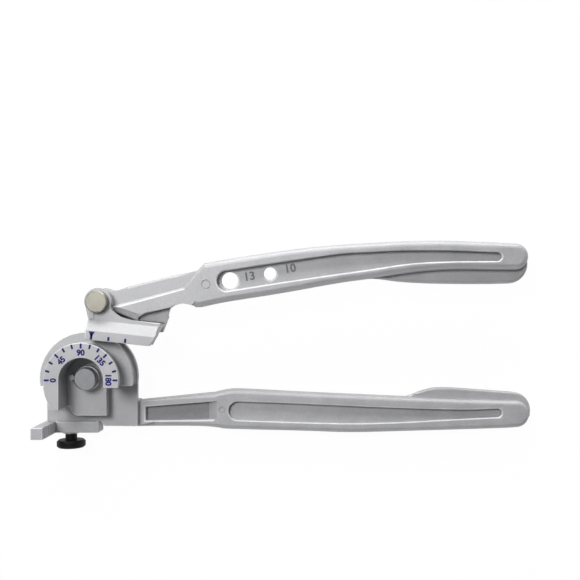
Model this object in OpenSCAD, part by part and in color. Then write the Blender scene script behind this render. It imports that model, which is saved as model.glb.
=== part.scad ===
// Two-size lever tube bender lying on its back, dial upward.
// Origin: the bend axis at the level of the plane the tool lies on. X runs along the handles.

/* [Tubes] */
// outside diameter of the smaller tube
tube_small_d = 9.53; // [6:0.01:10.5]
// outside diameter of the larger tube
tube_large_d = 12.7; // [10.5:0.01:16]
// centre-line bend radius of the smaller tube
bend_r_small = 28.6; // [25:0.1:32]
// centre-line bend radius of the larger tube
bend_r_large = 38.1; // [35:0.1:45]
// radial room of a tube in its channel
tube_clear = 0.14; // [0.05:0.01:0.4]

/* [Die] */
// thickness of the dial flange
near_t = 4.5; // [3:0.1:7]
// thickness of the wall between the two channels
mid_t = 4; // [2.5:0.1:6]
// thickness of the flange behind the larger channel
rear_t = 5; // [3.5:0.1:8]
// how far each flange edge stays inside its bend radius
flange_in = 1.5; // [0.5:0.1:4]
// radius of the arched recess in the dial
recess_r = 16.5; // [13:0.1:18]
// depth of the recess below the dial face
recess_depth = 22; // [16:0.5:25]

/* [Handles] */
// thickness of the lower handle
lower_t = 13; // [10:0.1:18]
// thickness of the upper handle
upper_t = 15.4; // [10:0.1:18]
// thickness of the web left between the pockets
web_t = 5; // [3:0.1:8]
// end of the lower handle, from the bend axis
lower_reach = 345; // [250:1:420]
// end of the upper handle, from the bend axis
upper_reach = 335; // [250:1:420]

/* [Pins] */
// diameter of the centre pin
center_pin_d = 9.9; // [8:0.1:12]
// diameter of the centre pin's head
center_head_d = 16.8; // [14:0.1:19]
// diameter of the handle pin
handle_pin_d = 8.9; // [7:0.1:11]
// diameter of the handle pin's head
handle_head_d = 16.2; // [12:0.1:18]
// wall of the bronze bushes
bush_wall = 1.5; // [1:0.1:2.5]
// thickness of the link behind the die
link_t = 4.8; // [3.5:0.1:6]
// how far the handle pin stands right of the bend axis
pin_x = 11.5; // [8:0.1:15]
// how far the handle pin stands above the larger tube's centre line
pin_rise = 19.9; // [18:0.1:26]

/* [Shoe] */
// length of the shoe along the tube
shoe_len = 56.2; // [46:0.1:75]
// thickness of each ear of the fork
ear_t = 5.5; // [4:0.1:7]
// radius of the ears round the handle pin
ear_r = 10; // [9:0.1:12]
// radial room between the shoe's edges and the tube centre lines
shoe_lift = 1.6; // [0.8:0.1:3]

/* [Clamp] */
// thickness of the clamp plate
plate_t = 8.8; // [6:0.1:12]
// diameter of the clamp screw
screw_d = 5.9; // [4:0.1:8]
// diameter of the knob
knob_d = 22; // [16:0.1:26]

/* [Fits] */
// radial room of a running fit
fit_run = 0.05; // [0.02:0.01:0.1]
// radial room of a fixed fit
fit_fixed = 0.02; // [0.01:0.01:0.04]
// room between flat faces that pass each other
face_gap = 0.15; // [0.1:0.01:0.3]

/* [Hidden] */
$fn = 96;
eps = 0.01;
r_small = tube_small_d / 2 + tube_clear;
r_large = tube_large_d / 2 + tube_clear;
// levels of the die, from the lower handle up to the dial
rear_z0 = lower_t + 0.7;
rear_z1 = rear_z0 + rear_t;
large_z = rear_z1 + r_large;
mid_z0 = large_z + r_large;
mid_z1 = mid_z0 + mid_t;
small_z = mid_z1 + r_small;
near_z0 = small_z + r_small;
dial_z = near_z0 + near_t;
floor_z = dial_z - recess_depth;
near_r = bend_r_small - flange_in + 0.5;
rear_r = bend_r_large - flange_in - 1.1;
mid_r = rear_r - 0.5;
core_small_r = bend_r_small - r_small;
core_large_r = bend_r_large - r_large;
// where the round part of the die ends, below the bend axis
arc_end_y = -0.15 * bend_r_large;
// ends of the link, whose swing the base stays clear of
center_bush_r = center_pin_d / 2 + fit_run;
link_end_r = center_bush_r + bush_wall + 3;
// the block under the recess and the base
boss_r = center_head_d / 2 + 1;
block_x1 = recess_r - 3;
base_y0 = 3.1 - bend_r_large;
base_y1 = -link_end_r - 9.8;
block_y0 = base_y0 + 5.7;
block_corner_r = 6.5;
leg_y0 = base_y0 + 12.7;
side_x = rear_r - 0.3;
flat_z = rear_z1 - 0.7;
boss_z1 = floor_z + 5;
// stack on the pins behind the die: ring, washer and link
washer_t = 0.5;
ring_t = 0.9;
pin_tail_z = 0.3;
ring_z = pin_tail_z + 1.05;
rear_washer_z = ring_z + ring_t + 0.1;
link_z0 = rear_washer_z + washer_t + face_gap;
link_z1 = link_z0 + link_t;
rear_boss_z = link_z1 + 0.8;
// handle pin, in the die's frame and along and across the shoe
pin_y = bend_r_large + pin_rise;
shoe_tilt = -6;
pin_u = pin_x * cos(shoe_tilt) + pin_y * sin(shoe_tilt);
pin_v = -pin_x * sin(shoe_tilt) + pin_y * cos(shoe_tilt);
handle_bush_r = handle_pin_d / 2 + fit_run;
handle_end_r = handle_bush_r + bush_wall + 3.5;
// fork of the shoe
ear_z1 = dial_z - 4;
ear_z0 = ear_z1 - ear_t;
fork_w = upper_t + 2 * washer_t + 4 * face_gap;
far_z1 = ear_z0 - fork_w;
far_z0 = far_z1 - ear_t;
shoe_z0 = rear_z0 + 0.2;
shoe_u0 = -0.5;
fork_floor = pin_v - handle_end_r - 2.4;
lower_y0 = base_y0 - 2;
small_edge = bend_r_small + shoe_lift;
large_edge = bend_r_large + shoe_lift;
bevel_v = fork_floor - 2;
face_v = small_edge + 0.47 * (bevel_v - small_edge);
heel_drop = handle_end_r + 1.95;
upper_z0 = far_z1 + washer_t + 2 * face_gap;
upper_z1 = upper_z0 + upper_t;
// screw that holds the link to the shoe
lug_x = pin_x + 8.7;
lug_y = pin_y - 9.3;
lug_screw_d = 5;
lug_screw_len = 12;
// clamp: the plate slides until its hook clears the larger tube
hook_x = 0.4 - bend_r_small;
clamp_travel = bend_r_large + tube_large_d / 2 + hook_x + 0.35;
plate_z0 = 4;
plate_z1 = flat_z + 1;
plate_x0 = hook_x - plate_t;
screw_x = hook_x + 9.9;
plate_x1 = screw_x + clamp_travel + screw_d / 2 + 3.95;
screw_z = (plate_z0 + plate_z1) / 2;
plate_y1 = base_y0 - face_gap;
plate_y0 = plate_y1 - plate_t;
cup_t = 1;
cup_y0 = plate_y0 - face_gap - cup_t;
neck_y0 = cup_y0 - 5.3;
knob_t = 5.8;
knob_y0 = neck_y0 - knob_t;
insert_len = 12.5;
insert_wall = 1.5;
hub_d = screw_d + 4;

// smooth line through a list of points
function bend4(a, b, c, d, t) =
  0.5 * (2 * b + (c - a) * t + (2 * a - 5 * b + 4 * c - d) * t * t + (3 * b - a - 3 * c + d) * t * t * t);
function round_end(x, y, r, a0, a1, n) =
  [for (k = [0:n]) [x + r * cos(a0 + (a1 - a0) * k / n), y + r * sin(a0 + (a1 - a0) * k / n)]];
function smooth_line(p, n) = [
  for (i = [0:len(p) - 2]) for (k = [0:n - 1])
    bend4(p[max(i - 1, 0)], p[i], p[i + 1], p[min(i + 2, len(p) - 1)], k / n),
  p[len(p) - 1]
];
// points given by their share of a run, at real heights
function along(p, x0, x1) = [for (q = p) [x0 + q[0] * (x1 - x0), q[1]]];

// straight round channel beside the die, along Y
module tail_channel(x, z, r) {
  translate([-x, 0, z])
    rotate([90, 0, 0])
      cylinder(h = 80, r = r);
}

// profile of the die turned about the bend axis: two channels between three flanges
module die_profile() {
  difference() {
    union() {
      translate([0, rear_z0])
        square([rear_r, large_z - rear_z0]);
      translate([0, large_z - eps])
        square([mid_r, mid_z1 - large_z + eps]);
      translate([0, mid_z1 - eps])
        square([near_r, dial_z - mid_z1 + eps]);
    }
    translate([bend_r_small, small_z])
      circle(r = r_small);
    translate([bend_r_large, large_z])
      circle(r = r_large);
  }
}

module die_round() {
  intersection() {
    rotate_extrude($fn = 160)
      die_profile();
    translate([-60, arc_end_y, 0])
      cube([120, 100, 80]);
  }
}

// left leg of the dial plate, beside the straight start of the tube
module die_leg() {
  translate([-core_small_r, leg_y0, floor_z - 1])
    cube([core_small_r - recess_r + 1, -leg_y0, dial_z - floor_z + 1]);
  translate([0, 0, near_z0])
    linear_extrude(near_t)
      polygon([
        [-near_r, 0], [-near_r, -6.3], [-near_r + 1.1, -11.5], [-near_r + 2.2, -14.4],
        [-core_small_r, -18], [-core_small_r, leg_y0], [-recess_r + 1, leg_y0], [-recess_r + 1, 0]
      ]);
}

// step below the leg, with one round corner
module recess_step() {
  x0 = 2 - recess_r;
  translate([x0 + block_corner_r, block_y0 + block_corner_r])
    circle(r = block_corner_r);
  translate([x0, block_y0 + block_corner_r])
    square([block_x1 - x0, -block_y0 - block_corner_r]);
  translate([x0 + block_corner_r, block_y0])
    square([block_x1 - x0 - block_corner_r, block_corner_r + 1]);
}

// block under the recess, base and the plate behind the tubes
module die_base() {
  translate([-core_large_r, leg_y0, rear_z0])
    cube([core_large_r + block_x1, -leg_y0, floor_z - rear_z0]);
  translate([0, 0, rear_z0])
    linear_extrude(floor_z - rear_z0)
      recess_step();
  linear_extrude(flat_z)
    polygon([
      [-side_x, base_y0], [plate_x1 + 1.5, base_y0], [plate_x1 + 4.2, base_y0 - 3.8],
      [side_x, base_y0 - 4],
      [side_x, base_y1], [-side_x, base_y1]
    ]);
  translate([-side_x, base_y1 - 1, rear_z0])
    cube([2 * side_x, 1 - base_y1, flat_z - rear_z0]);
}

// bosses for the centre pin, with the lug that keeps its collar from turning
module pin_bosses() {
  translate([0, 0, floor_z - 1])
    cylinder(h = boss_z1 - floor_z + 1, r = boss_r);
  translate([-boss_r - 2.6, 0.4, floor_z - 1])
    cylinder(h = boss_z1 - floor_z + 1, r = 2.2);
  translate([0, 0, rear_boss_z])
    cylinder(h = rear_z0 - rear_boss_z + 1, r = boss_r);
}

// outline of the lower handle, above the base's lower edge
lower_neck = side_x + 58;
lower_end = round_end(lower_reach - 14, 9.2, 14, 86, -86, 18);
lower_top = smooth_line(concat(
  along([[0, 22.9], [0.06, 25.8], [0.15, 25.2], [0.29, 23.4], [0.61, 20], [0.65, 20.4], [0.69, 24],
    [0.73, 26.4], [0.78, 26.8], [0.87, 25.4]], lower_neck, lower_reach - 13), [lower_end[0]]), 5);
lower_front_end = round_end(lower_reach - 13, 6.4, 10.5, 84, -84, 14);
lower_front_top = smooth_line(concat(
  along([[0, 22.9], [0.06, 25.8], [0.15, 25.2], [0.29, 23.4], [0.61, 20], [0.8, 18.2], [0.93, 17.2]],
    lower_neck, lower_reach - 13), [lower_front_end[0]]), 5);
lower_bottom = smooth_line(concat(
  along([[0.97, -4.6], [0.87, -5.4], [0.61, -7.2], [0.45, -8], [0.29, -6.8], [0.06, -5.4], [0.02, -4.4],
    [-0.02, -3.4], [-0.08, -3]], lower_neck, lower_reach - 13), [[side_x + 12.5, -3]]), 5);

module lower_outline(top, end) {
  polygon(concat([[side_x - 5.5, 16.8], [side_x + 0.8, 17.1]], top, end, lower_bottom, [[side_x - 5.5, -2.8]]));
}

lower_pocket_top = smooth_line(along([[0.082, 16.4], [0.29, 14.6], [0.55, 11.8], [0.81, 10], [0.94, 10.8]],
  lower_neck, lower_reach - 13), 5);
lower_pocket_bottom = smooth_line(along([[0.94, 4.2], [0.76, 2.2], [0.61, 0.3], [0.45, -0.5], [0.29, 0.3],
  [0.082, 2]], lower_neck, lower_reach - 13), 5);
lower_pocket_left = round_end(lower_pocket_top[0][0], 9.2, 7.2, 262, 98, 12);
lower_pocket_right = round_end(lower_reach - 28, 7.5, 3.3, 80, -80, 8);

module lower_pockets() {
  polygon([
    [side_x + 5.5, 12.2], [lower_neck + 3.3, 16.9], [lower_neck + 3.3, 2.6], [side_x + 5.5, 1.8]
  ]);
  polygon(concat(lower_pocket_top, lower_pocket_right, lower_pocket_bottom, lower_pocket_left));
}

// pockets of one face, from the web up; the neck's pocket ends in a ramp
module lower_pocket_cut(depth) {
  difference() {
    linear_extrude(depth + 1)
      lower_pockets();
    translate([lower_neck, 30, 0])
      rotate([90, 0, 0])
        linear_extrude(40)
          polygon([[-3.2, -1], [-3.2, 0], [3.4, depth], [8, depth], [8, -1]]);
  }
}

// cutter for a round mould mark, sunk into a face, with a low island
module mould_mark(r) {
  difference() {
    translate([0, 0, -0.7])
      cylinder(h = 2, r = r);
    translate([0, 0, -1])
      cylinder(h = 0.8, r = r - 1);
  }
}

module lower_handle() {
  pocket = (lower_t - web_t) / 2;
  difference() {
    // the finger guard stands only on the rear half
    translate([0, lower_y0, 0]) {
      linear_extrude(lower_t)
        lower_outline(lower_front_top, lower_front_end);
      linear_extrude(lower_t / 2)
        lower_outline(lower_top, lower_end);
    }
    translate([0, lower_y0, lower_t - pocket])
      lower_pocket_cut(pocket);
    translate([0, lower_y0, pocket])
      mirror([0, 0, 1])
        lower_pocket_cut(pocket);
    translate([lower_neck + 7.4, lower_y0 + 9.9, lower_t])
      mould_mark(2.7);
  }
}

module lower_casting() {
  color([0.76, 0.77, 0.78])
    difference() {
      union() {
        difference() {
          union() {
            die_round();
            die_leg();
            die_base();
          }
          // arched recess round the pin, open below
          translate([0, 0, floor_z])
            cylinder(h = 60, r = recess_r);
          translate([-recess_r, -60, floor_z])
            cube([2 * recess_r, 60, 60]);
          tail_channel(bend_r_small, small_z, r_small);
          tail_channel(bend_r_large, large_z, r_large);
        }
        pin_bosses();
        lower_handle();
      }
      // bore for the centre pin
      translate([0, 0, -1])
        cylinder(h = 80, d = center_pin_d + 2 * fit_fixed);
      // bore for the threaded insert
      translate([screw_x, base_y0 - 1, screw_z])
        rotate([-90, 0, 0])
          cylinder(h = insert_len + 1.5, d = screw_d + 2 * (fit_run + insert_wall + fit_fixed));
    }
}

module center_pin() {
  color([0.6, 0.61, 0.63]) {
    translate([0, 0, boss_z1 + eps])
      cylinder(h = 5.6, d = center_head_d);
    translate([0, 0, boss_z1 + 5.6])
      cylinder(h = 0.8, d1 = center_head_d, d2 = center_head_d - 1.6);
    difference() {
      translate([0, 0, pin_tail_z])
        cylinder(h = boss_z1 + 1 - pin_tail_z, d = center_pin_d);
      // groove for the ring
      translate([0, 0, ring_z - 0.05])
        difference() {
          cylinder(h = ring_t + 0.1, d = center_pin_d + 2);
          translate([0, 0, -1])
            cylinder(h = ring_t + 2, d = center_pin_d - 1.6);
        }
    }
  }
}

// plain washer on a pin along Z
module pin_washer(x, y, z, h, bore, od) {
  translate([x, y, z])
    difference() {
      cylinder(h = h, d = od);
      translate([0, 0, -1])
        cylinder(h = h + 2, d = bore);
    }
}

// open retaining ring in a pin's groove
module pin_ring(x, y, pin_d) {
  translate([x, y, ring_z])
    difference() {
      cylinder(h = ring_t, d = pin_d + 5);
      translate([0, 0, -1])
        cylinder(h = ring_t + 2, d = pin_d - 1.5);
      translate([-(pin_d - 1.5) / 2, -pin_d, -1])
        cube([pin_d - 1.5, pin_d, ring_t + 2]);
    }
}

module center_thrust_washer() {
  color([0.72, 0.55, 0.3])
    pin_washer(0, 0, link_z1 + face_gap, rear_boss_z - link_z1 - face_gap - 0.02,
      center_pin_d + 0.3, 2 * boss_r - 2);
}

module center_rear_washer() {
  color([0.7, 0.7, 0.7])
    pin_washer(0, 0, rear_washer_z, washer_t, center_pin_d + 0.3, 2 * boss_r - 3);
}

module center_ring() {
  color([0.35, 0.35, 0.36])
    pin_ring(0, 0, center_pin_d);
}

module thread_insert() {
  color([0.75, 0.6, 0.3])
    translate([screw_x, base_y0 + 0.3, screw_z])
      rotate([-90, 0, 0])
        difference() {
          cylinder(h = insert_len, d = screw_d + 2 * (fit_run + insert_wall));
          translate([0, 0, -1])
            cylinder(h = insert_len + 2, d = screw_d + 2 * fit_run);
        }
}

// hook plate: a bar under the base and an arm that reaches across both tube tails
module clamp_plate() {
  slot_w = screw_d + 0.7;
  color([0.72, 0.73, 0.74])
    difference() {
      union() {
        translate([plate_x0, plate_y0, plate_z0])
          cube([plate_x1 - plate_x0, plate_t, plate_z1 - plate_z0]);
        translate([plate_x0, plate_y0, plate_z1 - 1])
          cube([hook_x - plate_x0, plate_t, dial_z - plate_z1 + 1]);
      }
      // slot for the screw
      translate([screw_x, plate_y0 - 1, screw_z - slot_w / 2])
        cube([clamp_travel, plate_t + 2, slot_w]);
      for (x = [screw_x, screw_x + clamp_travel])
        translate([x, plate_y0 - 1, screw_z])
          rotate([-90, 0, 0])
            cylinder(h = plate_t + 2, d = slot_w);
      // teeth that grip the tube
      for (z = [plate_z1 + 4:4:dial_z - 4])
        translate([hook_x, plate_y0 - 1, z])
          rotate([0, 45, 0])
            translate([-0.8, 0, -0.8])
              cube([1.6, plate_t + 2, 1.6]);
    }
}

module clamp_washer() {
  color([0.7, 0.7, 0.7])
    translate([screw_x, cup_y0, screw_z])
      rotate([-90, 0, 0])
        difference() {
          cylinder(h = cup_t, d = 13);
          translate([0, 0, -1])
            cylinder(h = cup_t + 2, d = screw_d + 2 * fit_run);
        }
}

module clamp_screw() {
  tip_y = base_y0 + insert_len - 1;
  color([0.6, 0.6, 0.62])
    translate([screw_x, knob_y0 + 2, screw_z])
      rotate([-90, 0, 0])
        cylinder(h = tip_y - knob_y0 - 2, d = screw_d);
}

module knob_hub() {
  color([0.75, 0.6, 0.3])
    translate([screw_x, knob_y0 + 2, screw_z])
      rotate([-90, 0, 0])
        difference() {
          cylinder(h = cup_y0 - knob_y0 - 2.4, d = hub_d - 2.4);
          translate([0, 0, -1])
            cylinder(h = 40, d = screw_d + 2 * fit_fixed);
        }
}

// moulded knob turned about the screw, with a round edge and a neck
module clamp_knob() {
  color([0.08, 0.08, 0.09])
    translate([screw_x, knob_y0, screw_z])
      rotate([-90, 0, 0])
        difference() {
          union() {
            cylinder(h = 1.2, d1 = knob_d - 2.4, d2 = knob_d);
            translate([0, 0, 1.2])
              cylinder(h = knob_t - 2.4, d = knob_d);
            translate([0, 0, knob_t - 1.2])
              cylinder(h = 1.2, d1 = knob_d, d2 = knob_d - 2.4);
            translate([0, 0, knob_t - eps])
              cylinder(h = cup_y0 - neck_y0 - 0.05, d = hub_d - 0.9);
          }
          translate([0, 0, 2])
            cylinder(h = 40, d = hub_d - 2.4 + 2 * fit_fixed);
        }
}

// section of the shoe across the tubes: radius outward, height up
module shoe_profile() {
  difference() {
    polygon([
      [small_edge, dial_z], [face_v, dial_z], [bevel_v, ear_z1], [fork_floor + 0.6, ear_z1],
      [fork_floor + 0.6, ear_z0], [fork_floor, ear_z0], [fork_floor, far_z1], [fork_floor + 5.8, far_z1],
      [fork_floor + 5.8, shoe_z0], [large_edge, shoe_z0], [large_edge, mid_z1 + 0.4],
      [small_edge, mid_z1 + 0.4]
    ]);
    translate([bend_r_small, small_z])
      circle(r = r_small);
    translate([bend_r_large, large_z])
      circle(r = r_large);
  }
}

// place along the shoe, across the tube, in the die's frame
module at_shoe() {
  rotate([0, 0, shoe_tilt])
    children();
}

ear_x1 = shoe_len - 18.1;
ear_curve = smooth_line(concat([[pin_u + ear_r - 0.4, pin_v - 3]], along([[0.06, fork_floor + 6],
  [0.34, fork_floor + 2.2], [0.68, fork_floor + 0.8], [1, fork_floor + 0.5]], pin_u + ear_r, ear_x1)), 5);

module front_ear() {
  polygon(concat([[ear_x1, bevel_v], [shoe_u0, bevel_v], [pin_u - ear_r, pin_v], [pin_u, pin_v]], ear_curve));
  translate([pin_u, pin_v])
    circle(r = ear_r);
}

module far_ear() {
  polygon([
    [shoe_u0, fork_floor + 3], [pin_u - ear_r, pin_v], [pin_u + ear_r, pin_v],
    [pin_u + ear_r + 8.6, fork_floor + 4]
  ]);
  translate([pin_u, pin_v])
    circle(r = ear_r + 0.3);
}

module shoe() {
  front_u = shoe_len - 8.8;
  rear_u = shoe_len - 5.2;
  color([0.76, 0.77, 0.78])
    difference() {
      union() {
        at_shoe()
          difference() {
            translate([shoe_u0, 0, 0])
              rotate([90, 0, 90])
                linear_extrude(shoe_len)
                  shoe_profile();
            // slanted ends of the front part and of the rear flange
            translate([0, 0, rear_z1 + 0.5])
              linear_extrude(dial_z)
                polygon([
                  [front_u, small_edge], [front_u, small_edge - 9], [front_u + 40, small_edge - 9],
                  [front_u + 40, pin_v], [front_u + 0.443 * (pin_v - small_edge), pin_v]
                ]);
            translate([0, 0, -1])
              linear_extrude(dial_z)
                polygon([
                  [rear_u, large_edge], [rear_u, large_edge - 9], [rear_u + 40, large_edge - 9],
                  [rear_u + 40, pin_v], [rear_u + 0.275 * (pin_v - large_edge), pin_v]
                ]);
          }
        at_shoe() {
          translate([0, 0, ear_z0])
            linear_extrude(ear_t)
              front_ear();
          translate([0, 0, far_z0])
            linear_extrude(ear_t)
              far_ear();
        }
        // low lug on the front ear, beside the pin's head
        translate([pin_x - 6.9, pin_y - 12.8, ear_z1 - 1])
          difference() {
            cube([4.1, 8, 1.9]);
            translate([6.9, 12.8, 1])
              cylinder(h = 2, d = handle_head_d + 2 * face_gap);
          }
        // bosses that carry the link
        translate([pin_x, pin_y, link_z1 + 0.02])
          cylinder(h = far_z0 - link_z1 + 1, r = ear_r - 1);
        translate([lug_x, lug_y, link_z1 + 0.02])
          cylinder(h = far_z0 - link_z1, r = 5);
      }
      translate([pin_x, pin_y, -1])
        cylinder(h = dial_z + 2, d = handle_pin_d + 2 * fit_fixed);
      translate([lug_x, lug_y, -1])
        cylinder(h = lug_screw_len + link_z0 + 1.5, d = lug_screw_d + 2 * fit_fixed);
    }
}

module link() {
  color([0.55, 0.56, 0.58])
    difference() {
      union() {
        translate([0, 0, link_z0])
          cylinder(h = link_t, r = link_end_r);
        translate([pin_x, pin_y, link_z0])
          cylinder(h = link_t, r = link_end_r);
        translate([lug_x, lug_y, link_z0])
          cylinder(h = link_t, r = 5.5);
        translate([0, 0, link_z0])
          linear_extrude(link_t)
            polygon([
              [-8, 1.6], [8, -1.6], [lug_x - 4.2, lug_y - 8.7], [lug_x + 1, lug_y - 5.2],
              [lug_x + 4.7, lug_y + 2.8], [pin_x + 5, pin_y + 7.9], [pin_x - 8, pin_y + 1.6]
            ]);
      }
      translate([0, 0, -1])
        cylinder(h = link_z1 + 2, r = center_bush_r + bush_wall + fit_fixed);
      translate([pin_x, pin_y, -1])
        cylinder(h = link_z1 + 2, d = handle_pin_d + 2 * fit_fixed);
      translate([lug_x, lug_y, -1])
        cylinder(h = link_z1 + 2, d = lug_screw_d + 0.6);
    }
}

module link_bush() {
  color([0.72, 0.55, 0.3])
    pin_washer(0, 0, link_z0, link_t, 2 * center_bush_r, 2 * (center_bush_r + bush_wall));
}

module link_screw() {
  color([0.35, 0.35, 0.36]) {
    translate([lug_x, lug_y, link_z0 - 0.6 - 2.2])
      difference() {
        cylinder(h = 2.2, d = 8.4);
        translate([0, 0, -1])
          cylinder(h = 2.2, d = 3.4, $fn = 6);
      }
    translate([lug_x, lug_y, link_z0 - 0.7])
      cylinder(h = lug_screw_len, d = lug_screw_d);
  }
}

module link_screw_washer() {
  color([0.7, 0.7, 0.7])
    pin_washer(lug_x, lug_y, link_z0 - 0.57, 0.54, lug_screw_d + 0.3, 9.4);
}

module handle_pin() {
  color([0.66, 0.64, 0.6]) {
    translate([pin_x, pin_y, ear_z1 + 0.02])
      cylinder(h = 5, d = handle_head_d);
    translate([pin_x, pin_y, ear_z1 + 5])
      cylinder(h = 0.8, d1 = handle_head_d, d2 = handle_head_d - 1.6);
    difference() {
      translate([pin_x, pin_y, pin_tail_z])
        cylinder(h = ear_z1 + 1 - pin_tail_z, d = handle_pin_d);
      translate([pin_x, pin_y, ring_z - 0.05])
        difference() {
          cylinder(h = ring_t + 0.1, d = handle_pin_d + 2);
          translate([0, 0, -1])
            cylinder(h = ring_t + 2, d = handle_pin_d - 1.6);
        }
    }
  }
}

module handle_pin_washer() {
  color([0.7, 0.7, 0.7])
    pin_washer(pin_x, pin_y, rear_washer_z, washer_t, handle_pin_d + 0.3, 15);
}

module handle_pin_ring() {
  color([0.35, 0.35, 0.36])
    pin_ring(pin_x, pin_y, handle_pin_d);
}

module fork_washers() {
  color([0.72, 0.55, 0.3]) {
    pin_washer(pin_x, pin_y, upper_z1 + face_gap, washer_t, handle_pin_d + 0.3, 17);
    pin_washer(pin_x, pin_y, upper_z0 - face_gap - washer_t, washer_t, handle_pin_d + 0.3, 17);
  }
}

// outline of the upper handle, from the handle pin
upper_len = upper_reach - pin_x;
upper_end = round_end(upper_len - 15, 28.8, 15, 86, -86, 18);
upper_top = smooth_line(concat(
  along([[0, 28.8], [0.12, 33.8], [0.34, 40.8], [0.54, 44.3], [0.74, 46], [0.91, 45]], 78, upper_len - 14),
  [upper_end[0]]), 6);
upper_bottom = smooth_line(along([[0.99, 13.8], [0.9, 13.4], [0.75, 13.8], [0.65, 15], [0.58, 17],
  [0.54, 17.2], [0.44, 13.9], [0.25, 6], [0.08, -0.3], [0, -4.3]], 75, upper_len - 14), 5);

// heel that rests along the fork's floor, and the notch behind it
panel_depth = 1.8;
function heel(x, up) = [x, (up - heel_drop + x * sin(shoe_tilt)) / cos(shoe_tilt)];
upper_front_end = round_end(upper_len - 11.5, 34, 10, 84, -84, 14);
upper_front_top = smooth_line(concat(
  along([[0, 28.8], [0.12, 33.8], [0.34, 40.8], [0.54, 44.3], [0.74, 46], [0.91, 45]], 78, upper_len - 14),
  [upper_front_end[0]]), 6);
upper_front_bottom = smooth_line(along([[0.97, 24], [0.8, 24.2], [0.67, 21.7], [0.54, 17.2], [0.44, 13.9],
  [0.25, 6], [0.08, -0.3], [0, -4.3]], 75, upper_len - 14), 5);
heel_notch = smooth_line([[71.3, -4.3], [68.6, -2.8], [62.5, -1.5], [57.8, -1.8], [53.4, -3.4], [51, -6.8],
  heel(49.4, 3.4)], 4);

neck_top = smooth_line([[6.2, handle_end_r - 2.3], [28, 13.2], [50, 18.5], [72.8, 23.2]], 3);

module upper_outline(top, end, bottom) {
  polygon(concat([[0, 0], [0, handle_end_r - 0.2]], neck_top, top, end, bottom,
    heel_notch, [heel(46.5, 0), heel(26.5, 0), heel(16.5, 2.8), heel(9.5, 6)]));
}

upper_pocket_top = smooth_line(along([[0.074, 23.3], [0.25, 29.6], [0.44, 35.8], [0.54, 37.2], [0.63, 38.2],
  [0.78, 38.4], [0.95, 37]], 78, upper_len - 14), 5);
upper_pocket_bottom = smooth_line(along([[0.95, 30.5], [0.8, 30.2], [0.67, 28.6], [0.54, 24.2], [0.44, 21],
  [0.25, 14.5], [0.074, 8]], 78, upper_len - 14), 5);
upper_pocket_left = round_end(upper_pocket_top[0][0], 15.65, 7.7, 262, 98, 12);
upper_pocket_right = round_end(upper_pocket_bottom[0][0], 33.75, 3.25, 80, -80, 8);

module upper_pockets() {
  polygon(concat(upper_pocket_top, upper_pocket_right, upper_pocket_bottom, upper_pocket_left));
  // the heel is thinned on both sides, open to the notch and the fork
  polygon([heel(27.8, -6), heel(27.8, 1), heel(28.8, 3), heel(33.8, 6.2), [53, -4.2], [58, -3.4], heel(58, -6)]);
}

// cutter for all that lies left of a slanted wall, seen along it
module beyond_wall() {
  rotate([90, 0, 90])
    translate([0, 0, -60])
      linear_extrude(120)
        polygon([[0, panel_depth + eps], [panel_depth, 0], [60, 0], [60, panel_depth + eps]]);
}

// sunk panel along the neck, open above, up to the boss and a slanted wall with a bend
module neck_panel() {
  translate([0, 0, upper_t - panel_depth])
    difference() {
      intersection() {
        translate([63.2, 8.9, 0])
          rotate([0, 0, 14.6])
            beyond_wall();
        translate([63.2, 8.9, 0])
          rotate([0, 0, 49])
            beyond_wall();
      }
      translate([0, 0, -1])
        cylinder(h = panel_depth + 2, r = handle_end_r + 0.8);
    }
}

module upper_handle() {
  pocket = (upper_t - web_t) / 2;
  gauges = along([[0.082, 15.8], [0.213, 21.2]], 78, upper_len - 14);
  color([0.76, 0.77, 0.78])
    translate([pin_x, pin_y, upper_z0])
      difference() {
        union() {
          cylinder(h = upper_t, r = handle_end_r);
          linear_extrude(upper_t)
            upper_outline(upper_front_top, upper_front_end, upper_front_bottom);
          // the finger guard stands only on the rear half
          linear_extrude(upper_t / 2)
            upper_outline(upper_top, upper_end, upper_bottom);
        }
        translate([0, 0, upper_t - pocket])
          linear_extrude(pocket + 1)
            upper_pockets();
        translate([0, 0, -1])
          linear_extrude(pocket + 1)
            upper_pockets();
        neck_panel();
        // slanted face below the panel, behind the front ear
        translate([13.6, -4.1, upper_t])
          rotate([0, 0, -18.4])
            rotate([24, 0, 0])
              translate([-3, -20, 0])
                cube([26, 20, 20]);
        translate([79.5, 12.7, upper_t])
          mould_mark(3.7);
        translate([0, 0, -1])
          cylinder(h = upper_t + 2, r = handle_bush_r + bush_wall + fit_fixed);
        // gauge holes for the two tubes
        translate([gauges[0][0], gauges[0][1], -1])
          cylinder(h = upper_t + 2, r = r_large);
        translate([gauges[1][0], gauges[1][1], -1])
          cylinder(h = upper_t + 2, r = r_small);
      }
}

module handle_bush() {
  color([0.72, 0.55, 0.3])
    pin_washer(pin_x, pin_y, upper_z0, upper_t, 2 * handle_bush_r, 2 * (handle_bush_r + bush_wall));
}

lower_casting();
center_pin();
center_thrust_washer();
center_rear_washer();
center_ring();
thread_insert();
clamp_plate();
clamp_washer();
clamp_screw();
clamp_knob();
knob_hub();
shoe();
link();
link_bush();
link_screw();
link_screw_washer();
handle_pin();
handle_pin_washer();
handle_pin_ring();
fork_washers();
upper_handle();
handle_bush();
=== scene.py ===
import math

import bmesh
import bpy
from mathutils import Matrix, Vector


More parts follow.
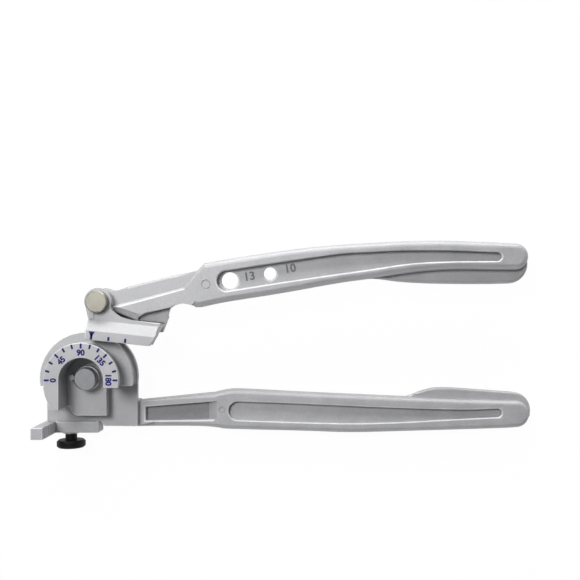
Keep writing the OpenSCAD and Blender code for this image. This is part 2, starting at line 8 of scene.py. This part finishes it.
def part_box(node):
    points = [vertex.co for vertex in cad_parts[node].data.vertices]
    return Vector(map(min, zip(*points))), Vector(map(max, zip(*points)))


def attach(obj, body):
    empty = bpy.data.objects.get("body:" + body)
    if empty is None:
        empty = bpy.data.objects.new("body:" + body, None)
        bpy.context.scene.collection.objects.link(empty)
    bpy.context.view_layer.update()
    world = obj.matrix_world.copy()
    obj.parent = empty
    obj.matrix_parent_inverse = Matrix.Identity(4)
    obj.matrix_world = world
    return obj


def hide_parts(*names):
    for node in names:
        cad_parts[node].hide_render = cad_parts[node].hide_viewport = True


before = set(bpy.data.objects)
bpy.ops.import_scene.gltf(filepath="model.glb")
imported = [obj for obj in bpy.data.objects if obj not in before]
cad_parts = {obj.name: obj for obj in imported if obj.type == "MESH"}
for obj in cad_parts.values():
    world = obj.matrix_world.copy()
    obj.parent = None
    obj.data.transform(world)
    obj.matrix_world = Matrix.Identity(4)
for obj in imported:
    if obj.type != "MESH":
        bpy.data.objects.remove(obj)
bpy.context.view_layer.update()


# Table, light and camera: the tool lies on its back, and the camera looks straight down at the dial.
# It lies on a white sheet whose far rim turns up, well outside the picture.
# A pale room, brighter beyond the handles, gives the level, and three lamps shade the recesses.
scene = bpy.context.scene
scene.view_settings.view_transform = "Standard"
tool_middle = (0.15, 0.05, 0.02)
necks_middle = (0.10, 0.03, 0.02)


def add_range(tree, value, start, end, low, high):
    """Turns a value that runs from start to end into one that runs from low to high."""
    spread = tree.nodes.new("ShaderNodeMapRange")
    spread.inputs["From Min"].default_value = start
    spread.inputs["From Max"].default_value = end
    spread.inputs["To Min"].default_value = low
    spread.inputs["To Max"].default_value = high
    tree.links.new(value, spread.inputs["Value"])
    return spread.outputs["Result"]


world = bpy.data.worlds.new("white_room")
scene.world = world
world.use_nodes = True
room = world.node_tree
bright_side = (-0.35, 0.6, 0.72)
way = room.nodes.new("ShaderNodeTexCoord")
facing = room.nodes.new("ShaderNodeVectorMath")
facing.operation = "DOT_PRODUCT"
facing.inputs[1].default_value = bright_side
room.links.new(way.outputs["Generated"], facing.inputs[0])
level = add_range(room, facing.outputs["Value"], start=-0.55, end=0.9, low=0.05, high=0.24)
shade = room.nodes.new("ShaderNodeCombineColor")
for channel in ("Red", "Green", "Blue"):
    room.links.new(level, shade.inputs[channel])
room.links.new(shade.outputs["Color"], room.nodes["Background"].inputs["Color"])


def new_material(name):
    """A material made of nodes, with its tree and its shader."""
    material = bpy.data.materials.new(name)
    material.use_nodes = True
    tree = material.node_tree
    return material, tree, tree.nodes["Principled BSDF"]


def feed(tree, socket, value):
    """Gives a socket the output of another node, or a plain value."""
    if isinstance(value, bpy.types.NodeSocket):
        tree.links.new(value, socket)
    else:
        socket.default_value = value


def add_math(tree, operation, first, second):
    node = tree.nodes.new("ShaderNodeMath")
    node.operation = operation
    feed(tree, node.inputs[0], first)
    feed(tree, node.inputs[1], second)
    return node.outputs["Value"]


def verts_in(result):
    """The vertices among what a mesh operator made."""
    return [g for g in result["geom"] if isinstance(g, bmesh.types.BMVert)]


def new_piece(name, bm, material):
    """Turns a finished mesh into a piece of the scene."""
    mesh = bpy.data.meshes.new(name)
    bm.to_mesh(mesh)
    bm.free()
    mesh.materials.append(material)
    piece = bpy.data.objects.new(name, mesh)
    scene.collection.objects.link(piece)
    return piece


glow_share = 0.97
sheet_paint, paint_tree, paper = new_material("sheet_paint")
paper.inputs["Base Color"].default_value = (0.97, 0.97, 0.97, 1.0)
paper.inputs["Roughness"].default_value = 0.9
paper.inputs["Specular IOR Level"].default_value = 0.1
glow = paint_tree.nodes.new("ShaderNodeEmission")
ray = paint_tree.nodes.new("ShaderNodeLightPath")
direct = add_math(paint_tree, "MAXIMUM", ray.outputs["Is Camera Ray"], ray.outputs["Is Glossy Ray"])
in_view = add_math(paint_tree, "MAXIMUM", direct, ray.outputs["Is Transmission Ray"])
blend = paint_tree.nodes.new("ShaderNodeMixShader")
feed(paint_tree, blend.inputs["Fac"], add_math(paint_tree, "MULTIPLY", in_view, glow_share))
feed(paint_tree, blend.inputs[1], paper.outputs["BSDF"])
feed(paint_tree, blend.inputs[2], glow.outputs["Emission"])
feed(paint_tree, paint_tree.nodes["Material Output"].inputs["Surface"], blend.outputs["Shader"])

sheet_half = 4.0
sheet_drop = 0.0003
rim_spread = 1.3
rim_rise = 1.6
sheet = bmesh.new()
bmesh.ops.create_grid(sheet, x_segments=1, y_segments=1, size=sheet_half)
rim = verts_in(bmesh.ops.extrude_edge_only(sheet, edges=sheet.edges[:]))
bmesh.ops.scale(sheet, verts=rim, vec=(rim_spread, rim_spread, 1.0))
bmesh.ops.translate(sheet, verts=rim, vec=(0.0, 0.0, rim_rise))
bmesh.ops.recalc_face_normals(sheet, faces=sheet.faces)
bmesh.ops.translate(sheet, verts=sheet.verts, vec=(tool_middle[0], tool_middle[1], -sheet_drop))
white_sheet = new_piece("white_sheet", sheet, sheet_paint)


def add_softbox(name, place, target, width, height, watts):
    light = bpy.data.lights.new(name, "AREA")
    light.shape = "RECTANGLE"
    light.size = width
    light.size_y = height
    light.energy = watts
    lamp = bpy.data.objects.new(name, light)
    lamp.location = place
    lamp.rotation_euler = (Vector(target) - Vector(place)).to_track_quat("-Z", "Y").to_euler()
    scene.collection.objects.link(lamp)


add_softbox("softbox_top", place=(0.10, 1.90, 0.70), target=tool_middle, width=2.6, height=0.8, watts=50.0)
add_softbox("softbox_key", place=(-0.34, 0.52, 1.25), target=necks_middle, width=0.5, height=0.5, watts=12.7)
add_softbox("reflector_low", place=(0.20, -1.80, 0.60), target=tool_middle, width=2.6, height=0.9, watts=8.0)

camera_data = bpy.data.cameras.new("photo_camera")
camera_data.sensor_width = 36.0
camera_data.lens = 45.6
camera_data.shift_y = 0.0259
camera = bpy.data.objects.new("photo_camera", camera_data)
camera.location = (0.1539, 0.0554, 0.590)
scene.collection.objects.link(camera)
scene.camera = camera


# Lower casting: forming die, dial, base and lower handle in one gravity-cast aluminium piece.
# It is blasted to an even satin grey, and its parting edges are rolled by tumbling.
# The visible copy keeps the solid's shape and rolls its sharp edges.
def toned(color, share):
    """A darker or lighter tone of a colour."""
    return [c * share for c in color]


def own_place(tree):
    """The piece's own coordinates."""
    return tree.nodes.new("ShaderNodeTexCoord").outputs["Object"]


def own_value(tree, name):
    """A value that the piece's mesh carries."""
    value = tree.nodes.new("ShaderNodeAttribute")
    value.attribute_name = name
    return value.outputs["Fac"]


def add_noise(tree, place, scale, detail, roughness=0.5):
    noise = tree.nodes.new("ShaderNodeTexNoise")
    noise.inputs["Scale"].default_value = scale
    noise.inputs["Detail"].default_value = detail
    noise.inputs["Roughness"].default_value = roughness
    tree.links.new(place, noise.inputs["Vector"])
    return noise.outputs["Fac"]


def add_ramp(tree, value, low, high, start=0.0, end=1.0):
    """Colour that runs from low to high as a value runs from start to end."""
    ramp = tree.nodes.new("ShaderNodeValToRGB")
    first, last = ramp.color_ramp.elements
    first.position = start
    last.position = end
    first.color = (*low, 1.0)
    last.color = (*high, 1.0)
    tree.links.new(value, ramp.inputs["Fac"])
    return ramp.outputs["Color"]


def add_mix(tree, blend_type, factor, under, over):
    """Lays one colour over another."""
    mix = tree.nodes.new("ShaderNodeMix")
    mix.data_type = "RGBA"
    mix.blend_type = blend_type
    feed(tree, mix.inputs["Factor"], factor)
    feed(tree, mix.inputs["A"], under)
    feed(tree, mix.inputs["B"], over)
    return mix.outputs["Result"]


def add_bump(tree, shader, height, strength, depth):
    """Fine relief on a shader."""
    bump = tree.nodes.new("ShaderNodeBump")
    bump.inputs["Strength"].default_value = strength
    bump.inputs["Distance"].default_value = depth
    tree.links.new(height, bump.inputs["Height"])
    tree.links.new(bump.outputs["Normal"], shader.inputs["Normal"])


def cast_metal(name, color, roughness, grain):
    """Satin metal: a fine blasted grain, faint cloudy patches and slightly uneven gloss.

    Painted shade darkens it where the piece marks pockets and recess walls that lie in shade, and a painted
    highlight with some wear brightens its fine rolled edges in patches, where the piece carries these
    values.
    """
    # Painted shade: a darker tint for pockets and recess walls that lie in shade.
    shade_tint = (0.60, 0.60, 0.62, 1.0)
    # Painted highlight with some wear: a lighter tone for the fine rolled edges.
    highlight_and_wear_tone = (*toned(color, 1.75), 1.0)
    gloss_play = 0.05
    sparkle = 0.26
    material, tree, shader = new_material(name)
    shader.inputs["Metallic"].default_value = 0.35
    place = own_place(tree)
    cloud = add_noise(tree, place, scale=55.0, detail=5.0, roughness=0.65)
    blast = add_noise(tree, place, scale=1500.0, detail=3.0)
    tint = add_ramp(tree, cloud, toned(color, 0.91), toned(color, 1.06), start=0.3, end=0.7)
    shaded = add_mix(tree, "MULTIPLY", own_value(tree, "painted_shade"), tint, shade_tint)
    # Painted highlight with some wear: fine rolled edges lightened in patches.
    edge_highlight = add_math(tree, "MULTIPLY", own_value(tree, "edge_highlight_and_wear"), cloud)
    brightened = add_mix(tree, "MIX", edge_highlight, shaded, highlight_and_wear_tone)
    blasted = add_mix(tree, "OVERLAY", sparkle, brightened, blast)
    tree.links.new(blasted, shader.inputs["Base Color"])
    gloss = add_range(tree, cloud, start=0.3, end=0.7,
                      low=roughness - gloss_play, high=roughness + gloss_play)
    tree.links.new(gloss, shader.inputs["Roughness"])
    add_bump(tree, shader, blast, strength=0.35, depth=grain)
    return material


# How near points are joined, which angles count as flat or sharp, and which rolls get a painted highlight
# with some wear.
weld = 2e-6
cut_weld = 1e-6
cut_pitch = 0.0113
flat_angle = math.radians(0.4)
sharp_angle = math.radians(35)
flat_crease = math.radians(18)
roll_crease = math.radians(50)
room_for_roll = 1.25
highlight_radius = 0.0017
plain_roll = 1
highlight_roll = 2


def even_cuts(first, count):
    return [first + cut_pitch * step for step in range(count)]


def corner_normals(bm, rolled):
    """Normal at each corner of each face: flat on wide faces, round over rolls and fine facets."""
    areas = {face: face.calc_area() for face in bm.faces}
    normals = []
    for face in bm.faces:
        limit = math.cos(roll_crease if face[rolled] else flat_crease)
        for corner in face.loops:
            near = [f for f in corner.vert.link_faces if f.normal.dot(face.normal) > limit]
            normals.append(sum((f.normal * areas[f] for f in near), Vector()).normalized())
    return normals


def reach_across(face, edge):
    """How far a face reaches from one of its edges."""
    start = edge.verts[0].co
    along = (edge.verts[1].co - start).normalized()
    return max((v.co - start - along * (v.co - start).dot(along)).length for v in face.verts)


def can_roll(edge, radius):
    """True for a sharp outer edge whose two faces are wide enough for the roll."""
    return (len(edge.link_faces) == 2 and edge.is_convex and edge.calc_face_angle() > sharp_angle
            and min(reach_across(f, edge) for f in edge.link_faces) > room_for_roll * radius)


def rolled_copy(node, name, material, rolls, shade_share=None, cuts=()):
    """Copies a solid, rolls the edges that each roll picks, and lets the copy stand for the solid.

    A roll is a radius, its number of segments and a function that picks the edges.
    Its share function tells how much painted shade, for the shade that falls in pockets and recesses, a face
    gets at each corner.
    Long lands are cut across at each x in cuts, so that the rolls run evenly along them.
    """
    bm = bmesh.new()
    bm.from_mesh(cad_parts[node].data)
    bmesh.ops.remove_doubles(bm, verts=bm.verts, dist=weld)
    crossings = set()
    for x in cuts:
        across = bmesh.ops.bisect_plane(bm, geom=bm.verts[:] + bm.edges[:] + bm.faces[:], dist=cut_weld,
                                        plane_co=(x, 0.0, 0.0), plane_no=(1.0, 0.0, 0.0))
        crossings.update(g for g in across["geom_cut"] if isinstance(g, bmesh.types.BMEdge))
    bmesh.ops.dissolve_limit(bm, angle_limit=flat_angle, verts=bm.verts,
                             edges=[e for e in bm.edges if e not in crossings])
    rolled = bm.faces.layers.int.new("rolled")
    for radius, segments, picks in rolls:
        edges = [e for e in bm.edges if can_roll(e, radius) and picks(e)]
        roll = bmesh.ops.bevel(bm, geom=edges, offset=radius, affect="EDGES", segments=segments, profile=0.5,
                               material=-1, clamp_overlap=False, loop_slide=True)
        for face in roll["faces"]:
            face[rolled] = highlight_roll if radius < highlight_radius else plain_roll
    bmesh.ops.dissolve_degenerate(bm, dist=weld, edges=bm.edges)
    bm.normal_update()
    # Painted shade: each corner carries how much darker shade its face gets.
    painted_shade = bm.loops.layers.float.new("painted_shade")
    # Painted highlight with some wear: marks the faces of the fine rolls.
    edge_highlight_and_wear = bm.loops.layers.float.new("edge_highlight_and_wear")
    for face in bm.faces:
        face.smooth = True
        for corner in face.loops:
            corner[edge_highlight_and_wear] = 1.0 if face[rolled] == highlight_roll else 0.0
            if shade_share:
                corner[painted_shade] = shade_share(face, corner.vert)
    normals = corner_normals(bm, rolled)
    piece = new_piece(name, bm, material)
    piece.data.normals_split_custom_set(normals)
    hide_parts(node)
    return piece


def edge_box(edge):
    """The lowest and the highest corner of the box round an edge."""
    start, end = (v.co for v in edge.verts)
    return Vector([min(pair) for pair in zip(start, end)]), Vector([max(pair) for pair in zip(start, end)])


def wall_height(face):
    heights = [v.co.z for v in face.verts]
    return max(heights) - min(heights)


nearly_level = 0.9


def joins_wall(edge, low, high):
    """True between a level face and a wall whose height lies between low and high."""
    flatness = max(abs(f.normal.z) for f in edge.link_faces)
    return flatness > nearly_level and low < max(wall_height(f) for f in edge.link_faces) < high


dial_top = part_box("lower_casting")[1][2]
# Places along the casting, levels of its fronts, wall heights and face sizes, to tell edges apart.
die_end = 0.040
neck_start = 0.0355
neck_back_start = 0.042
pocket_change = 0.0975
guard_start = 0.2545
guard_low = -0.032
handle_front = 0.0130
guard_front = 0.0065
back_limit = 0.0010
level_play = 0.0005
handle_walls = (0.006, 0.014)
guard_walls = (0.003, 0.014)
pocket_walls = (0.003, 0.005)
least_die_face = 1.5e-6
wide_die_face = 3e-5


def is_die_edge(edge):
    areas = sorted(f.calc_area() for f in edge.link_faces)
    return areas[0] > least_die_face and areas[1] > wide_die_face and edge_box(edge)[1].x < die_end


def is_handle_front(edge):
    low = edge_box(edge)[0]
    return joins_wall(edge, *handle_walls) and low.x > neck_start and abs(low.z - handle_front) < level_play


def is_handle_back(edge):
    low, high = edge_box(edge)
    return joins_wall(edge, *handle_walls) and low.x > neck_back_start and high.z < back_limit


def is_guard_front(edge):
    low, high = edge_box(edge)
    on_guard = low.x > guard_start and low.y > guard_low and abs(high.z - guard_front) < level_play
    return joins_wall(edge, *guard_walls) and on_guard


def is_neck_pocket(edge):
    low, high = edge_box(edge)
    on_neck = low.x > die_end and high.x < pocket_change and abs(low.z - handle_front) < level_play
    return joins_wall(edge, *pocket_walls) and on_neck


def is_handle_pocket(edge):
    low, high = edge_box(edge)
    on_handle = low.x > pocket_change and high.z < handle_front + level_play
    return joins_wall(edge, *pocket_walls) and on_handle


# Which faces are level or upright, and where painted shade darkens the pockets and recess walls that lie in
# shade.
level_normal = 0.98
upright_normal = 0.3
sunk_depth = 0.0015
recess_wall_r = (0.013, 0.019)
recess_low = -0.034
recess_back = 0.020
recess_shade_share = 0.8


def lower_skin(face, vert):
    """Painted shade: full on the neck pocket's floor, and part of it on the arched recess's wall, where
    shade falls.
    """
    middle = face.calc_center_median()
    in_pocket = die_end < middle.x < pocket_change and middle.z < handle_front - sunk_depth
    if in_pocket and face.normal.z > level_normal:
        return 1.0
    from_axis = Vector((middle.x, max(middle.y, 0.0), 0.0))
    faces_in = abs(face.normal.z) < upright_normal and face.normal.dot(from_axis) < 0.0
    near_wall = recess_wall_r[0] < from_axis.length < recess_wall_r[1]
    in_recess = near_wall and middle.y > recess_low and middle.z > recess_back
    return recess_shade_share if faces_in and in_recess else 0.0


cast_grey = cast_metal("cast_grey", (0.42, 0.42, 0.432), roughness=0.56, grain=0.00006)
lower_casting = rolled_copy("lower_casting", "lower_casting_body", cast_grey, [
    (0.0005, 3, is_die_edge),
    (0.0035, 5, is_handle_front),
    (0.0022, 3, is_handle_back),
    (0.0018, 3, is_guard_front),
    (0.0016, 4, is_neck_pocket),
    (0.0010, 3, is_handle_pocket),
], lower_skin, even_cuts(first=0.1143, count=17))
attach(lower_casting, "base")


# Dial print: short navy lines every 15 degrees and five angles, pad-printed on the flange.
# The ink is a thin film, so each mark stands only a few hundredths of a millimetre proud of the metal.
def ink(name, color):
    """Matt ink, a little paler where it has worn; the same film also serves as painted shade for the lever's
    figures.
    """
    worn = [c * 1.5 + 0.02 for c in color]
    material, tree, shader = new_material(name)
    shader.inputs["Roughness"].default_value = 0.5
    shader.inputs["Specular IOR Level"].default_value = 0.2
    wear = add_noise(tree, own_place(tree), scale=900.0, detail=4.0)
    tree.links.new(add_ramp(tree, wear, color, worn, start=0.25, end=0.8), shader.inputs["Base Color"])
    return material


film = 0.00006
film_weld = 1e-6
eased_share = 0.3
figure_in_font = 0.7


def add_bar(bm, width, length, turn):
    """A printed bar, centred on its place, with its corners eased as ink settles."""
    bar = bmesh.ops.create_cube(bm, size=1.0)["verts"]
    bmesh.ops.scale(bm, verts=bar, vec=(width, length, film))
    edges = dict.fromkeys(e for v in bar for e in v.link_edges)
    upright = [e for e in edges if abs(e.verts[0].co.z - e.verts[1].co.z) > film / 2]
    eased = bmesh.ops.bevel(bm, geom=upright, offset=width * eased_share, affect="EDGES", segments=3,
                            profile=0.5, material=-1)
    loose = {v for f in eased["faces"] for v in f.verts} | {v for v in bar if v.is_valid}
    bmesh.ops.transform(bm, matrix=turn, verts=list(loose))


def add_figure(bm, words, height, boldness, turn):
    """Plain numerals as a closed mesh, centred on their place."""
    letters = bpy.data.curves.new("figure", "FONT")
    letters.body = words
    letters.align_x = "CENTER"
    letters.align_y = "CENTER"
    letters.size = height / figure_in_font
    letters.extrude = film / 2
    letters.offset = height * boldness
    letters.resolution_u = 4
    holder = bpy.data.objects.new("figure", letters)
    scene.collection.objects.link(holder)
    bpy.context.view_layer.update()
    shape = bpy.data.meshes.new_from_object(holder.evaluated_get(bpy.context.evaluated_depsgraph_get()))
    middle = sum((Vector(c) for c in holder.bound_box), Vector()) / len(holder.bound_box)
    shape.transform(turn @ Matrix.Translation(-middle))
    bm.from_mesh(shape)
    bpy.data.objects.remove(holder)
    bpy.data.curves.remove(letters)
    bpy.data.meshes.remove(shape)


def print_piece(name, bm, material, body):
    bmesh.ops.remove_doubles(bm, verts=bm.verts, dist=film_weld)
    piece = new_piece(name, bm, material)
    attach(piece, body)


dial_span = 180
tick_step = 15
figure_step = 45
tick_width = 0.0015
tick_outer_r = 0.0272
tick_long = 0.0038
tick_short = 0.0034
figure_r = 0.0204


def on_dial(degrees, radius):
    """The place of a mark at a dial angle, turned to stand outward."""
    angle = math.radians(dial_span - degrees)
    place = Matrix.Translation((radius * math.cos(angle), radius * math.sin(angle), dial_top + film / 2))
    return place @ Matrix.Rotation(angle - math.pi / 2, 4, "Z")


navy_ink = ink("navy_ink", (0.008, 0.005, 0.095))
dial_print = bmesh.new()
for degrees in range(0, dial_span + 1, tick_step):
    tick = tick_long if degrees % figure_step == 0 else tick_short
    add_bar(dial_print, tick_width, tick, on_dial(degrees, tick_outer_r - tick / 2))
for degrees in range(0, dial_span + 1, figure_step):
    add_figure(dial_print, str(degrees), height=0.0041, boldness=0.072, turn=on_dial(degrees, figure_r))
print_piece("dial_marks", dial_print, navy_ink, "base")


# Centre pin: a turned steel pin with a broad ground head, held from behind by two washers and a ring.
# The head is plain satin steel with fine turning marks.
def dress(materials):
    """Gives the pieces that show as solids their materials."""
    for node, material in materials.items():
        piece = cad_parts[node]
        if not piece.material_slots:
            piece.data.materials.append(material)
        for slot in piece.material_slots:
            slot.material = material


def turned_metal(name, color, roughness, center=(0.0, 0.0, 0.0)):
    """Turned metal: fine rings round the upright axis at center, and faint smears of colour."""
    material, tree, shader = new_material(name)
    shader.inputs["Metallic"].default_value = 0.9
    shader.inputs["Roughness"].default_value = roughness
    move = tree.nodes.new("ShaderNodeMapping")
    move.inputs["Location"].default_value = [-c for c in center]
    tree.links.new(own_place(tree), move.inputs["Vector"])
    place = move.outputs["Vector"]
    rings = tree.nodes.new("ShaderNodeTexWave")
    rings.wave_type = "RINGS"
    rings.rings_direction = "Z"
    rings.inputs["Scale"].default_value = 420.0
    rings.inputs["Distortion"].default_value = 0.6
    rings.inputs["Detail"].default_value = 2.0
    tree.links.new(place, rings.inputs["Vector"])
    smear = add_noise(tree, place, scale=160.0, detail=4.0)
    tint = add_ramp(tree, smear, toned(color, 0.93), toned(color, 1.06), start=0.3, end=0.75)
    tree.links.new(tint, shader.inputs["Base Color"])
    add_bump(tree, shader, rings.outputs["Fac"], strength=0.12, depth=0.00003)
    return material


pin_steel = turned_metal("pin_steel", (0.30, 0.305, 0.32), roughness=0.42)
bearing_bronze = turned_metal("bearing_bronze", (0.46, 0.28, 0.11), roughness=0.4)
spring_steel = turned_metal("spring_steel", (0.12, 0.12, 0.13), roughness=0.45)
zinc_washer = turned_metal("zinc_washer", (0.50, 0.50, 0.49), roughness=0.35)
dress({
    "center_pin": pin_steel,
    "center_thrust_washer": bearing_bronze,
    "center_rear_washer": zinc_washer,
    "center_ring": spring_steel,
})


# Clamp: a cast hook plate that slides under the base, with its steel screw, brass insert and washer.
# The plate has the casting's satin finish and teeth where it grips the tube.
shortest_rolled = 0.0025
least_rolled_face = 5e-6


def is_long_edge(edge):
    least = min(f.calc_area() for f in edge.link_faces)
    return edge.calc_length() > shortest_rolled and least > least_rolled_face


clamp_plate = rolled_copy("clamp_plate", "clamp_plate_body", cast_grey, [(0.0005, 3, is_long_edge)])
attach(clamp_plate, "hook")
insert_brass = turned_metal("insert_brass", (0.55, 0.38, 0.13), roughness=0.38)
dress({
    "thread_insert": insert_brass,
    "clamp_washer": zinc_washer,
    "clamp_screw": pin_steel,
    "knob_hub": insert_brass,
})


# Knob: black moulded plastic round the brass hub, a thick disc with a plain rounded rim.
# The moulding is matt, with faint flow marks.
def moulded_black(name):
    """Matt black plastic, with colour, gloss and relief that follow the flow of the moulding."""
    material, tree, shader = new_material(name)
    shader.inputs["Specular IOR Level"].default_value = 0.2
    flow = add_noise(tree, own_place(tree), scale=300.0, detail=6.0)
    tone = add_ramp(tree, flow, low=(0.003, 0.003, 0.0035), high=(0.009, 0.009, 0.0095))
    tree.links.new(tone, shader.inputs["Base Color"])
    gloss = add_range(tree, flow, start=0.0, end=1.0, low=0.42, high=0.62)
    tree.links.new(gloss, shader.inputs["Roughness"])
    add_bump(tree, shader, flow, strength=0.3, depth=0.00005)
    return material


dress({"clamp_knob": moulded_black("knob_black")})


# Shoe: a second casting that carries the tube round the die, forked at the top for the lever.
# A wide chamfer leads to the flat strip that holds the reading marks.
ledge_back = 0.0350
ledge_front = 0.0370


def is_shoe_edge(edge):
    """The long edges, apart from those of the narrow ledge between the two channels."""
    on_ledge = all(ledge_back < v.co.z < ledge_front for v in edge.verts)
    return is_long_edge(edge) and not on_ledge


shoe = rolled_copy("shoe", "shoe_body", cast_grey, [(0.0006, 3, is_shoe_edge)])
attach(shoe, "arm")


# Reading marks: a filled arrow for the dial and two plain start lines, in the dial's navy ink.
# They follow the shoe, which lies six degrees off square at rest.
shoe_turn = Matrix.Rotation(math.radians(-6.0), 4, "Z")
arrow_x = 0.00435
stem_y = 0.0328
point_y = 0.0352
point_r = 0.00273
start_xs = (0.0171, 0.0295)
start_y = 0.0324


def on_shoe(x, y, z):
    return shoe_turn @ Matrix.Translation((x, y, dial_top + z))


shoe_marks = bmesh.new()
add_bar(shoe_marks, width=0.0018, length=0.0045, turn=on_shoe(arrow_x, stem_y, film / 2))
for start_x in start_xs:
    add_bar(shoe_marks, width=0.0017, length=0.0030, turn=on_shoe(start_x, start_y, film / 2))
point = bmesh.ops.create_circle(shoe_marks, cap_ends=True, radius=point_r, segments=3)["verts"]
lifted = verts_in(bmesh.ops.extrude_face_region(shoe_marks, geom=[point[0].link_faces[0]]))
bmesh.ops.translate(shoe_marks, verts=lifted, vec=(0.0, 0.0, film))
point_turn = on_shoe(arrow_x, point_y, 0.0) @ Matrix.Rotation(math.pi, 4, "Z")
bmesh.ops.transform(shoe_marks, verts=point + lifted, matrix=point_turn)
bmesh.ops.recalc_face_normals(shoe_marks, faces=shoe_marks.faces)
print_piece("shoe_marks", shoe_marks, navy_ink, "arm")


# Link: a flat steel bar behind the die that ties the shoe to the centre pin.
# It is blanked from plate and zinc plated; its bush is bronze and its screw is black.
def axis_of(node):
    """The foot of a round piece's upright axis."""
    low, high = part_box(node)
    return (low[0] + high[0]) / 2, (low[1] + high[1]) / 2, 0.0


plate_steel = cast_metal("plate_steel", (0.30, 0.30, 0.315), roughness=0.38, grain=0.00002)
black_screw = turned_metal("black_screw", (0.05, 0.05, 0.055), roughness=0.4, center=axis_of("link_screw"))
dress({
    "link": plate_steel,
    "link_bush": bearing_bronze,
    "link_screw": black_screw,
    "link_screw_washer": zinc_washer,
})


# Handle pin: a nickel-plated pin through the fork, with a warm satin head.
# A washer and an open ring hold it behind the link.
pin_nickel = turned_metal("pin_nickel", (0.27, 0.259, 0.225), roughness=0.36, center=axis_of("handle_pin"))
dress({
    "handle_pin": pin_nickel,
    "handle_pin_washer": zinc_washer,
    "handle_pin_ring": spring_steel,
    "fork_washers": bearing_bronze,
})


# Upper handle: a cast lever with an I section, thick rolled rims and two tube gauges in its web.
# It is blasted like the other castings and turns on a bronze bush.
lever_back, lever_front = (corner[2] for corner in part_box("upper_handle"))
# Wall heights, places along the lever and depths under its front, to tell edges apart.
lever_walls = (0.007, 0.016)
lever_pocket_walls = (0.004, 0.006)
rim_start = 0.0865
low_rim_start = 0.0795
low_rim_top = 0.06
back_reach = 0.009
lever_pocket_start = 0.095
neck_edge_start = 0.024
neck_top_start = 0.026
neck_end = 0.086
neck_edge_depth = 0.0025
slant_depth = 0.001
shortest_neck_edge = 0.002


def is_lever_front(edge):
    low, high = edge_box(edge)
    start = low_rim_start if high.y < low_rim_top else rim_start
    return joins_wall(edge, *lever_walls) and low.x > start and low.z > lever_front - level_play


def is_lever_back(edge):
    low, high = edge_box(edge)
    return joins_wall(edge, *lever_walls) and low.x > rim_start and high.z < lever_back + back_reach


def is_lever_pocket(edge):
    return joins_wall(edge, *lever_pocket_walls) and edge_box(edge)[0].x > lever_pocket_start


def is_neck_edge(edge):
    low, high = edge_box(edge)
    on_neck = low.x > neck_edge_start and high.x < neck_end and low.z > lever_front - neck_edge_depth
    return on_neck and edge.calc_length() > shortest_neck_edge


def is_neck_top(edge):
    low, high = edge_box(edge)
    on_neck = low.x > neck_top_start and high.x < neck_end and low.z < lever_front - slant_depth
    return joins_wall(edge, *lever_walls) and on_neck


# Where the heel's floor lies, and how fast its painted shade thins out along x.
heel_start = 0.039
heel_end = 0.064
heel_top = 0.0545
heel_depth = 0.004
shade_fall = 28.0


def heel_skin(face, vert):
    """Painted shade on the heel's sunk floor, less of it farther from the pin, as the shade in its corner
    fades.
    """
    middle = face.calc_center_median()
    on_heel = heel_start < middle.x < heel_end and middle.y < heel_top
    is_sunk = middle.z < lever_front - heel_depth and face.normal.z > level_normal
    return 1.0 - shade_fall * (vert.co.x - heel_start) if on_heel and is_sunk else 0.0


upper_handle = rolled_copy("upper_handle", "upper_handle_body", cast_grey, [
    (0.0018, 5, is_neck_top),
    (0.0008, 3, is_neck_edge),
    (0.0045, 5, is_lever_front),
    (0.0025, 3, is_lever_back),
    (0.0012, 3, is_lever_pocket),
], heel_skin, even_cuts(first=0.1643, count=14))
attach(upper_handle, "lever")
dress({"handle_bush": bearing_bronze})


# Size figures: plain numbers on the lever's web, one beside each gauge hole, lined up with the lever.
# They are shallow relief in the metal; the dark grey of the thin film that stands for them here is painted
# shade of that relief.
web_top = 0.0345
lever_slope = Matrix.Rotation(math.radians(10.0), 4, "Z")
# Painted shade: the figures' dark grey stands for the shade of their shallow relief.
figure_shade_grey = ink("figure_shade_grey", (0.12, 0.12, 0.125))
figures = bmesh.new()
for words, x, y in (("13", 0.1237, 0.0773), ("10", 0.1547, 0.0834)):
    place = Matrix.Translation((x, y, web_top + film / 2))
    add_figure(figures, words, height=0.0062, boldness=0.030, turn=place @ lever_slope)
print_piece("gauge_figures", figures, figure_shade_grey, "lever")
